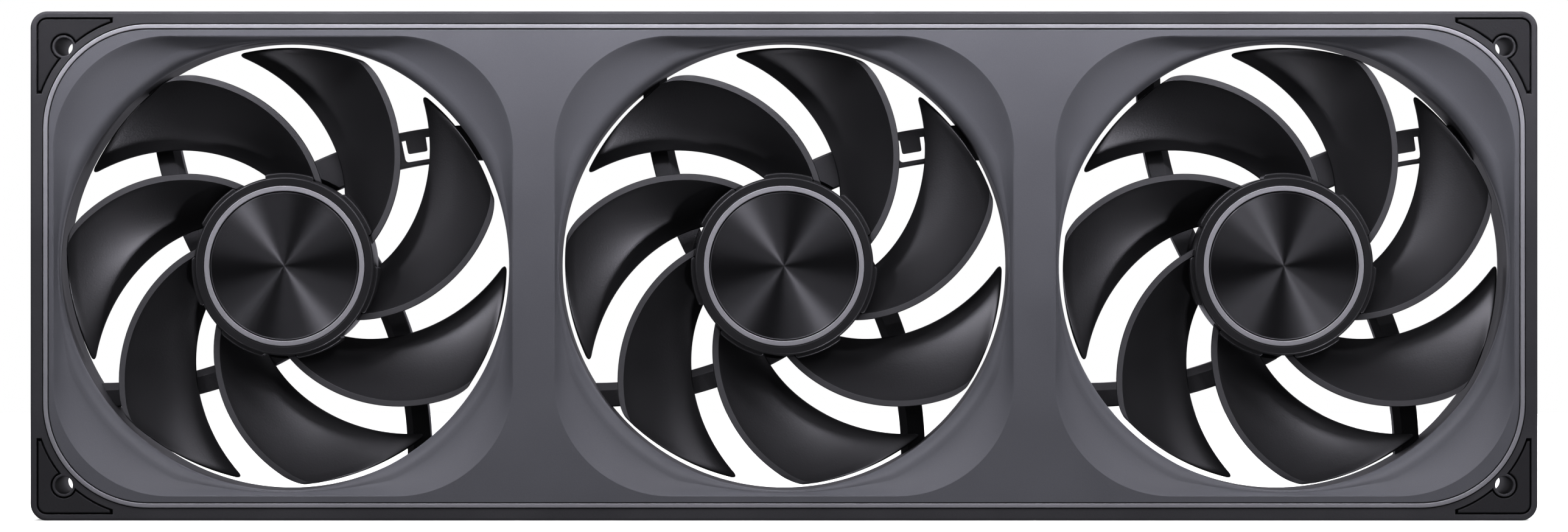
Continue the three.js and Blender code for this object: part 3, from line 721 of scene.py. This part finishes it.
def bezel():
    plate_edge = 2 * RIM_GAP + TRIM_WIDTH
    plate_profile = [
        (plate_edge + 2, FRONT - BEZEL_SKIN, 0),
        (plate_edge, FRONT - BEZEL_SKIN, 0.1),
        (plate_edge, FRONT, 0.15),
        (plate_edge + 2, FRONT, 0),
    ]
    flange_profile = [
        (RIM_GAP, FLANGE_REAR, 0.1),
        (RIM_GAP, FLANGE_FRONT, 0.1),
        (FLANGE_INSET, FLANGE_FRONT, 0),
        (FLANGE_INSET, FLANGE_REAR, 0.1),
    ]
    post_profile = [(POST_OUTER_R, POST_REAR), (POST_OUTER_R, POST_FRONT)]
    post_profile += [(POST_INNER_R, POST_FRONT), (POST_INNER_R, POST_REAR)]
    post = turned(post_profile, 48, closed=True)
    return carved(
        lofted(opening_outline, eased(plate_profile, 4)),
        ("UNION", together([moved(dish_back(), x) for x in FAN_X])),
        ("UNION", lofted(opening_outline, eased(flange_profile, 3), closed=True)),
        ("UNION", together([moved(post, x, y) for x, y in BOSSES])),
        ("DIFFERENCE", together([moved(dish_cutter(), x) for x in FAN_X])),
    )


def trim_ring():
    inner = RIM_GAP + TRIM_WIDTH
    corners = [(RIM_GAP, TRIM_REAR, 0.1), (RIM_GAP, DEPTH, 0.25)]
    corners += [(inner, DEPTH, 0.25), (inner, TRIM_REAR, 0.1)]
    return lofted(opening_outline, eased(corners, 4), closed=True)


def corner_pad(sx, sy, front):
    rounded = [(-grow, z) for grow, z in lip(PAD_THICK, 0.3)[:-1]]
    profile = [(0, 0)] + rounded
    if front:
        profile = [(grow, z + FRONT - PAD_THICK) for grow, z in profile]
    else:
        profile = [(grow, PAD_THICK - z) for grow, z in reversed(profile)]
    return lofted(pad_at(sx, sy), profile)


def screw():
    """A bezel screw on its own axis: shank, domed head and cross recess."""
    profile = [
        (0.3, SCREW_REAR, 0),
        (SCREW_HEAD_R, SCREW_REAR, 0.5),
        (SCREW_HEAD_R, SCREW_HEAD_FRONT, 0.15),
        (SCREW_SHANK_R, SCREW_HEAD_FRONT, 0),
        (SCREW_SHANK_R, SCREW_TIP, 0.3),
        (0.3, SCREW_TIP, 0),
    ]
    long, short = CROSS_REACH, CROSS_HALF
    return carved(
        turned(eased(profile), 48),
        ("DIFFERENCE", slab(-long, long, -short, short, 0, CROSS_FLOOR)),
        ("DIFFERENCE", slab(-short, short, -long, long, 0, CROSS_FLOOR)),
    )


# ---- Impeller --------------------------------------------------------------------------------------
def leading_edge(u):
    """Where the edge is, in degrees round the hub; u runs from 0 at the hub to 1 near the tip."""
    return 15 + 60.4 * u - 21.5 * u**2 + 12.2 * u**3


def leading_slope(u):
    """How fast the leading edge turns with u."""
    return 60.4 - 2 * 21.5 * u + 3 * 12.2 * u**2


def trailing_edge(u):
    return 52 + 63.6 * u - 21.5 * u**2 + 8.9 * u**3


def corner_cut(r, corner):
    """How much a rounded corner of the blade's outline takes off an edge, at radius r."""
    reach, along = corner
    into = max(0.0, (r - (BLADE_TIP_R - reach)) / reach)
    return along * (1 - math.sqrt(max(0.0, 1 - into**2)))


def blade_height(t):
    """The front surface behind the leading edge's flat; t runs from 0 there to 1 at the trailing edge."""
    return BLADE_FRONT - (BLADE_FRONT - BLADE_REAR - BLADE_THICK) * (1 - (1 - t) ** 1.5)


def blade_section(r, steps=26):
    """The blade cut at radius r: its front from the nose of the leading edge back, then its rear."""
    u = (r - BLADE_FOOT_R) / BLADE_SPAN
    lead = math.radians(leading_edge(u)) + corner_cut(r, LEAD_CORNER) / r
    trail = math.radians(trailing_edge(u)) - corner_cut(r, TRAIL_CORNER) / r
    chord = (trail - lead) * r
    land = BLADE_LAND * math.hypot(1, r * math.radians(leading_slope(u)) / BLADE_SPAN)
    into = max(0.0, (r - (BLADE_TIP_R - TIP_ROUND)) / TIP_ROUND)
    thin = TIP_ROUND * (1 - math.sqrt(max(0.0, 1 - into**2)))
    front = arc(BLADE_NOSE, BLADE_FRONT - BLADE_NOSE, BLADE_NOSE, 180, 90, 4)
    front += [(land, BLADE_FRONT), (land + 0.1, BLADE_FRONT - LAND_STEP)]
    rear = []
    for i in range(steps + 1):
        t = i / steps
        s = land + (chord - land) * t
        z = blade_height(t) - LAND_STEP
        if i > 0:
            front.append((s, z))
        rear.append((s, max(BLADE_REAR, z - BLADE_THICK + LAND_STEP + BLADE_THINNING * t)))
    front[-1] = (chord - BLADE_TAIL, front[-1][1])
    rear[-1] = (chord - BLADE_TAIL, rear[-1][1])
    nose = [(chord, (front[-1][1] + rear[-1][1]) / 2)]
    under = [(BLADE_NOSE, BLADE_FRONT - 2 * BLADE_NOSE)]
    outline = [(s, z - thin) for s, z in front] + nose + [(s, z + thin) for s, z in reversed(rear)] + under
    return [(r * math.cos(lead + s / r), r * math.sin(lead + s / r), z) for s, z in outline]


def blade():
    corner = LEAD_CORNER[0]
    body = [BLADE_ROOT_R + (BLADE_TIP_R - corner - BLADE_ROOT_R) * i / 30 for i in range(30)]
    tip = [BLADE_TIP_R - corner * (1 - i / 20) for i in range(16)]
    edge = [BLADE_TIP_R - TIP_ROUND * (1 - math.sin(math.pi / 2 * i / 5)) for i in range(6)]
    return skin([blade_section(r) for r in body + tip + edge])


def root_collar(steps=30):
    """The collar that stiffens a blade's root: it stands on the blade's front, against the hub."""
    lead, trail = leading_edge(0) + COLLAR_FROM, trailing_edge(0) - COLLAR_TO
    loops = []
    for i in range(steps + 1):
        t = i / steps
        angle = math.radians(lead + (trail - lead) * t)
        from_end = min(t, 1 - t) * math.radians(trail - lead) * COLLAR_R
        into = max(0.0, 1 - from_end / COLLAR_ROUND)
        cut = COLLAR_ROUND * (1 - math.sqrt(1 - into**2))
        foot = blade_height(t) - BLADE_THICK / 2
        top = [(BLADE_ROOT_R, COLLAR_FRONT)]
        top += arc(COLLAR_R - cut - COLLAR_ROUND, COLLAR_FRONT - COLLAR_ROUND, COLLAR_ROUND, 90, 0, 6)
        section = [(BLADE_ROOT_R, foot)] + top + [(COLLAR_R - cut, foot)]
        loops.append([(r * math.cos(angle), r * math.sin(angle), z) for r, z in section])
    return skin(loops)


def impeller():
    profile = [
        (0.4, HUB_FLOOR - HUB_FACE, 0),
        (HUB_INNER_R, HUB_FLOOR - HUB_FACE, 0),
        (HUB_INNER_R, HUB_REAR, 0.2),
        (HUB_R, HUB_REAR, 0.4),
        (HUB_R, HUB_FRONT, HUB_CHAMFER),
        (RECESS_R, HUB_FRONT, 0.12),
        (RECESS_R, HUB_FLOOR, 0),
        (0.4, HUB_FLOOR, 0),
    ]
    hub = turned(eased(profile, 6))
    roots = [blade(), root_collar()]
    around = [moved(shape, turn=360 / BLADES * i) for i in range(BLADES) for shape in roots]
    return carved(hub, *[("UNION", shape) for shape in around])


def paint_land_highlight(mesh):
    """Gives the flat along each blade's leading edge a lighter copy of the impeller's plastic, on a mesh
    that is ready: a painted highlight where the flat faces the front.
    """
    mesh.materials.append(FINISHES["blade_land_painted_highlight"])
    flat = (DEPTH / 2 - BLADE_FRONT + LAND_STEP / 2) * MM
    for face in mesh.polygons:
        beyond_hub = math.hypot(face.center.x, face.center.z) > COLLAR_R * MM
        face.material_index = int(beyond_hub and face.center.y < flat and face.normal.y < -0.5)
    return mesh


def hub_ring():
    low, high = HUB_FLOOR + 0.3, HUB_FRONT + 0.1
    corners = [(RING_INNER_R, low, 0), (RING_OUTER_R, low, 0)]
    corners += [(RING_OUTER_R, high, 0.2), (RING_INNER_R, high, 0.2)]
    return turned(eased(corners, 4), closed=True)


def hub_cap(rings=44):
    """A thin disc, its face turned into shallow rings."""
    low, high, r = HUB_FLOOR + 0.3, HUB_FRONT - 0.12, CAP_R
    profile = [(0.4, low), (r, low), (r, high - 0.25), (r - 0.25, high)]
    for i in range(2 * rings):
        share = i / (2 * rings)
        profile.append((r - 0.4 - (r - 0.9) * share, high - (CAP_GROOVE if i % 2 else 0)))
    return turned(profile + [(0.4, high)])


def rear_label():
    corners = [(0.4, LABEL_REAR, 0), (LABEL_R, LABEL_REAR, 0.1)]
    corners += [(LABEL_R, LABEL_FRONT, 0), (0.4, LABEL_FRONT, 0)]
    return turned(eased(corners, 3))


# ---- Put the pieces together -----------------------------------------------------------------------
piece("chassis", ready(chassis(), FINISHES["chassis_plastic"]))
piece("front_bezel", ready(bezel(), FINISHES["bezel_coating"]))
piece("trim_ring", ready(trim_ring(), FINISHES["trim_metal"]))
for where, (sx, sy) in CORNERS.items():
    for side, front in (("front", True), ("rear", False)):
        piece(f"{side}_pad_{where}", ready(corner_pad(sx, sy, front), FINISHES["pad_rubber"]))

FAN_PIECES = {  # its mesh, its slot, and whether it turns with the rotor
    "impeller": (paint_land_highlight(ready(impeller(), FINISHES["impeller_plastic"])), "impeller_plastic", True),
    "hub_ring": (ready(hub_ring(), FINISHES["hub_ring_coating"]), "hub_ring_coating", True),
    "hub_cap": (ready(hub_cap(), FINISHES["spun_metal"]), "spun_metal", True),
    "rear_label": (ready(rear_label(), FINISHES["label_film"]), "label_film", False),
}
for number, x in enumerate(FAN_X, 1):
    for node, (mesh, slot, spins) in FAN_PIECES.items():
        piece(f"{node}_{number}", mesh, f"rotor_{number}" if spins else "frame", x)

for number, (x, y) in enumerate(BOSSES, 1):
    piece(f"bezel_screw_{number}", ready(moved(screw(), x, y), FINISHES["screw_steel"]))

# The pieces inside keep their CAD shape, and take a finish by the kind of piece.
KEPT = {
    "rotor_yoke": "motor_steel",
    "magnet_ring": "magnet",
    "rotor_shaft": "motor_steel",
    "bearing_sleeve": "bearing_brass",
    "stator_core": "motor_steel",
    "stator_windings": "winding",
    "motor_board": "circuit_board",
    "motor_lead": "lead_jacket",
    "distribution_board": "circuit_board",
    "fan_socket": "socket_plastic",
    "socket_pins": "contact_brass",
}
for node, obj in frame["nodes"].items():
    if obj.hide_render:
        continue
    kind = node.rstrip("_0123456789")
    obj.data.materials.clear()
    obj.data.materials.append(FINISHES[KEPT[kind]])


# ---- Studio ----------------------------------------------------------------------------------------
LAMP_TINT = (1, 0.98, 1.1)
SHEEN_OFF_AXIS = 48  # degrees between the fans' axis and a sheen lamp
FLOOR_SIDE, FLOOR_FRONT, FLOOR_BACK = 1, 0.8, 1  # how far the floor reaches, in metres


def aim(obj, location, target):
    obj.location = location
    obj.rotation_mode = "QUATERNION"
    obj.rotation_quaternion = (Vector(target) - Vector(location)).to_track_quat("-Z", "Y")
    bpy.context.scene.collection.objects.link(obj)


def softbox(name, location, target, width, height, radiance, spread_deg=180):
    """A soft light that gives no reflection of itself."""
    light = bpy.data.lights.new(name, "AREA")
    light.shape = "RECTANGLE"
    light.size, light.size_y = width, height
    light.spread = math.radians(spread_deg)
    light.energy = radiance * math.pi * width * height
    light.color = LAMP_TINT
    obj = bpy.data.objects.new(name, light)
    aim(obj, location, target)
    obj.visible_camera = False
    obj.visible_glossy = False


def sheen_lamp(turn, strength, size_deg):
    """A round lamp far in front that gives only reflections; turn is its place round the fans' axis."""
    light = bpy.data.lights.new(f"sheen_{turn}", "SUN")
    light.energy = strength
    light.color = LAMP_TINT
    light.angle = math.radians(size_deg)
    obj = bpy.data.objects.new(light.name, light)
    around, off_axis = math.radians(turn), math.radians(SHEEN_OFF_AXIS)
    out = math.sin(off_axis)
    aim(obj, (out * math.cos(around), -math.cos(off_axis), out * math.sin(around)), (0, 0, 0))
    obj.visible_diffuse = False


def studio_world(behind, around):
    """White to the camera. For light it is dim all round, and brighter behind the unit."""
    world = bpy.data.worlds.new("studio")
    bpy.context.scene.world = world
    world.use_nodes = True
    tree = world.node_tree
    tree.nodes.clear()
    towards = add(tree, "ShaderNodeTexCoord").outputs["Generated"]
    facing = add(tree, "ShaderNodeVectorMath", {0: towards, 1: (0, 1, 0)}, operation="DOT_PRODUCT")
    clipped = add(tree, "ShaderNodeMath", {0: facing.outputs["Value"], 1: 0.0}, operation="MAXIMUM")
    sloped = {0: clipped.outputs[0], 1: behind, 2: around}
    level = add(tree, "ShaderNodeMath", sloped, operation="MULTIPLY_ADD").outputs[0]
    lit = add(tree, "ShaderNodeBackground", {"Color": (*LAMP_TINT, 1), "Strength": level})
    white = add(tree, "ShaderNodeBackground", {"Color": (1, 1, 1, 1), "Strength": 1.0})
    seen = add(tree, "ShaderNodeLightPath").outputs["Is Camera Ray"]
    mix = add(tree, "ShaderNodeMixShader", {0: seen, 1: lit.outputs[0], 2: white.outputs[0]})
    add(tree, "ShaderNodeOutputWorld", {"Surface": mix.outputs[0]})


def floor():
    """A thin sheet of paper, which takes light and gives the unit none."""
    sheet = slab(-FLOOR_SIDE, FLOOR_SIDE, -FLOOR_FRONT, FLOOR_BACK, -0.0001, 0)
    sheet.materials.append(FINISHES["floor_paper"])
    obj = bpy.data.objects.new("floor", sheet)
    obj.visible_diffuse = False
    obj.visible_glossy = False
    obj.visible_shadow = False
    bpy.context.scene.collection.objects.link(obj)


floor()
studio_world(0.45, 0.012)
softbox("overhead", (0, 0.15, 1.1), (0, 0.1, 0), 2.0, 1.4, 4.5)
softbox("top", (0, -0.12, 0.25), (0, 0, 0.06), 1.2, 0.05, 15.5)
softbox("top_strip", (0, -0.07, 0.17), (0, -DEPTH / 2 * MM, 0.12), 0.5, 0.012, 12, 80)
softbox("right", (0.6, -0.25, 0.1), (0, 0, 0.06), 0.3, 0.3, 4)
softbox("left", (-0.5, -0.2, 0.25), (0, 0, 0.06), 0.2, 0.2, 2)
softbox("low", (0, -0.22, -0.33), (0, 0, 0.06), 1.2, 0.1, 5)
softbox("rear", (0.7, 0.7, 0.6), (0, 0, 0.06), 0.6, 0.6, 14)

# What the turned caps mirror: each lamp's place, strength and size in degrees, for one ray of sheen.
SHEEN = [
    (36, 0.4, 24),
    (54, 0.34, 6),
    (100, 0.34, 20),
    (128, 0.8, 6),
    (155, 0.26, 24),
    (228, 0.2, 6),
    (302, 0.9, 5),
    (335, 0.12, 24),
]
for turn, strength, size_deg in SHEEN:
    sheen_lamp(turn, strength, size_deg)

# ---- Camera ----------------------------------------------------------------------------------------
SENSOR = 36
CAMERA_AWAY = 1.4  # metres from the front face
SEEN_WIDTH = 375.4  # millimetres across the picture at the front face
camera_data = bpy.data.cameras.new("camera")
camera_data.sensor_width = SENSOR
camera_data.lens = SENSOR * CAMERA_AWAY / (SEEN_WIDTH * MM)
camera = bpy.data.objects.new("camera", camera_data)
middle = Vector((0, 0, HEIGHT / 2 * MM))  # of the unit
aim(camera, middle - Vector((0, DEPTH / 2 * MM + CAMERA_AWAY, 0)), middle)
bpy.context.scene.camera = camera
bpy.context.scene.view_settings.view_transform = "Standard"
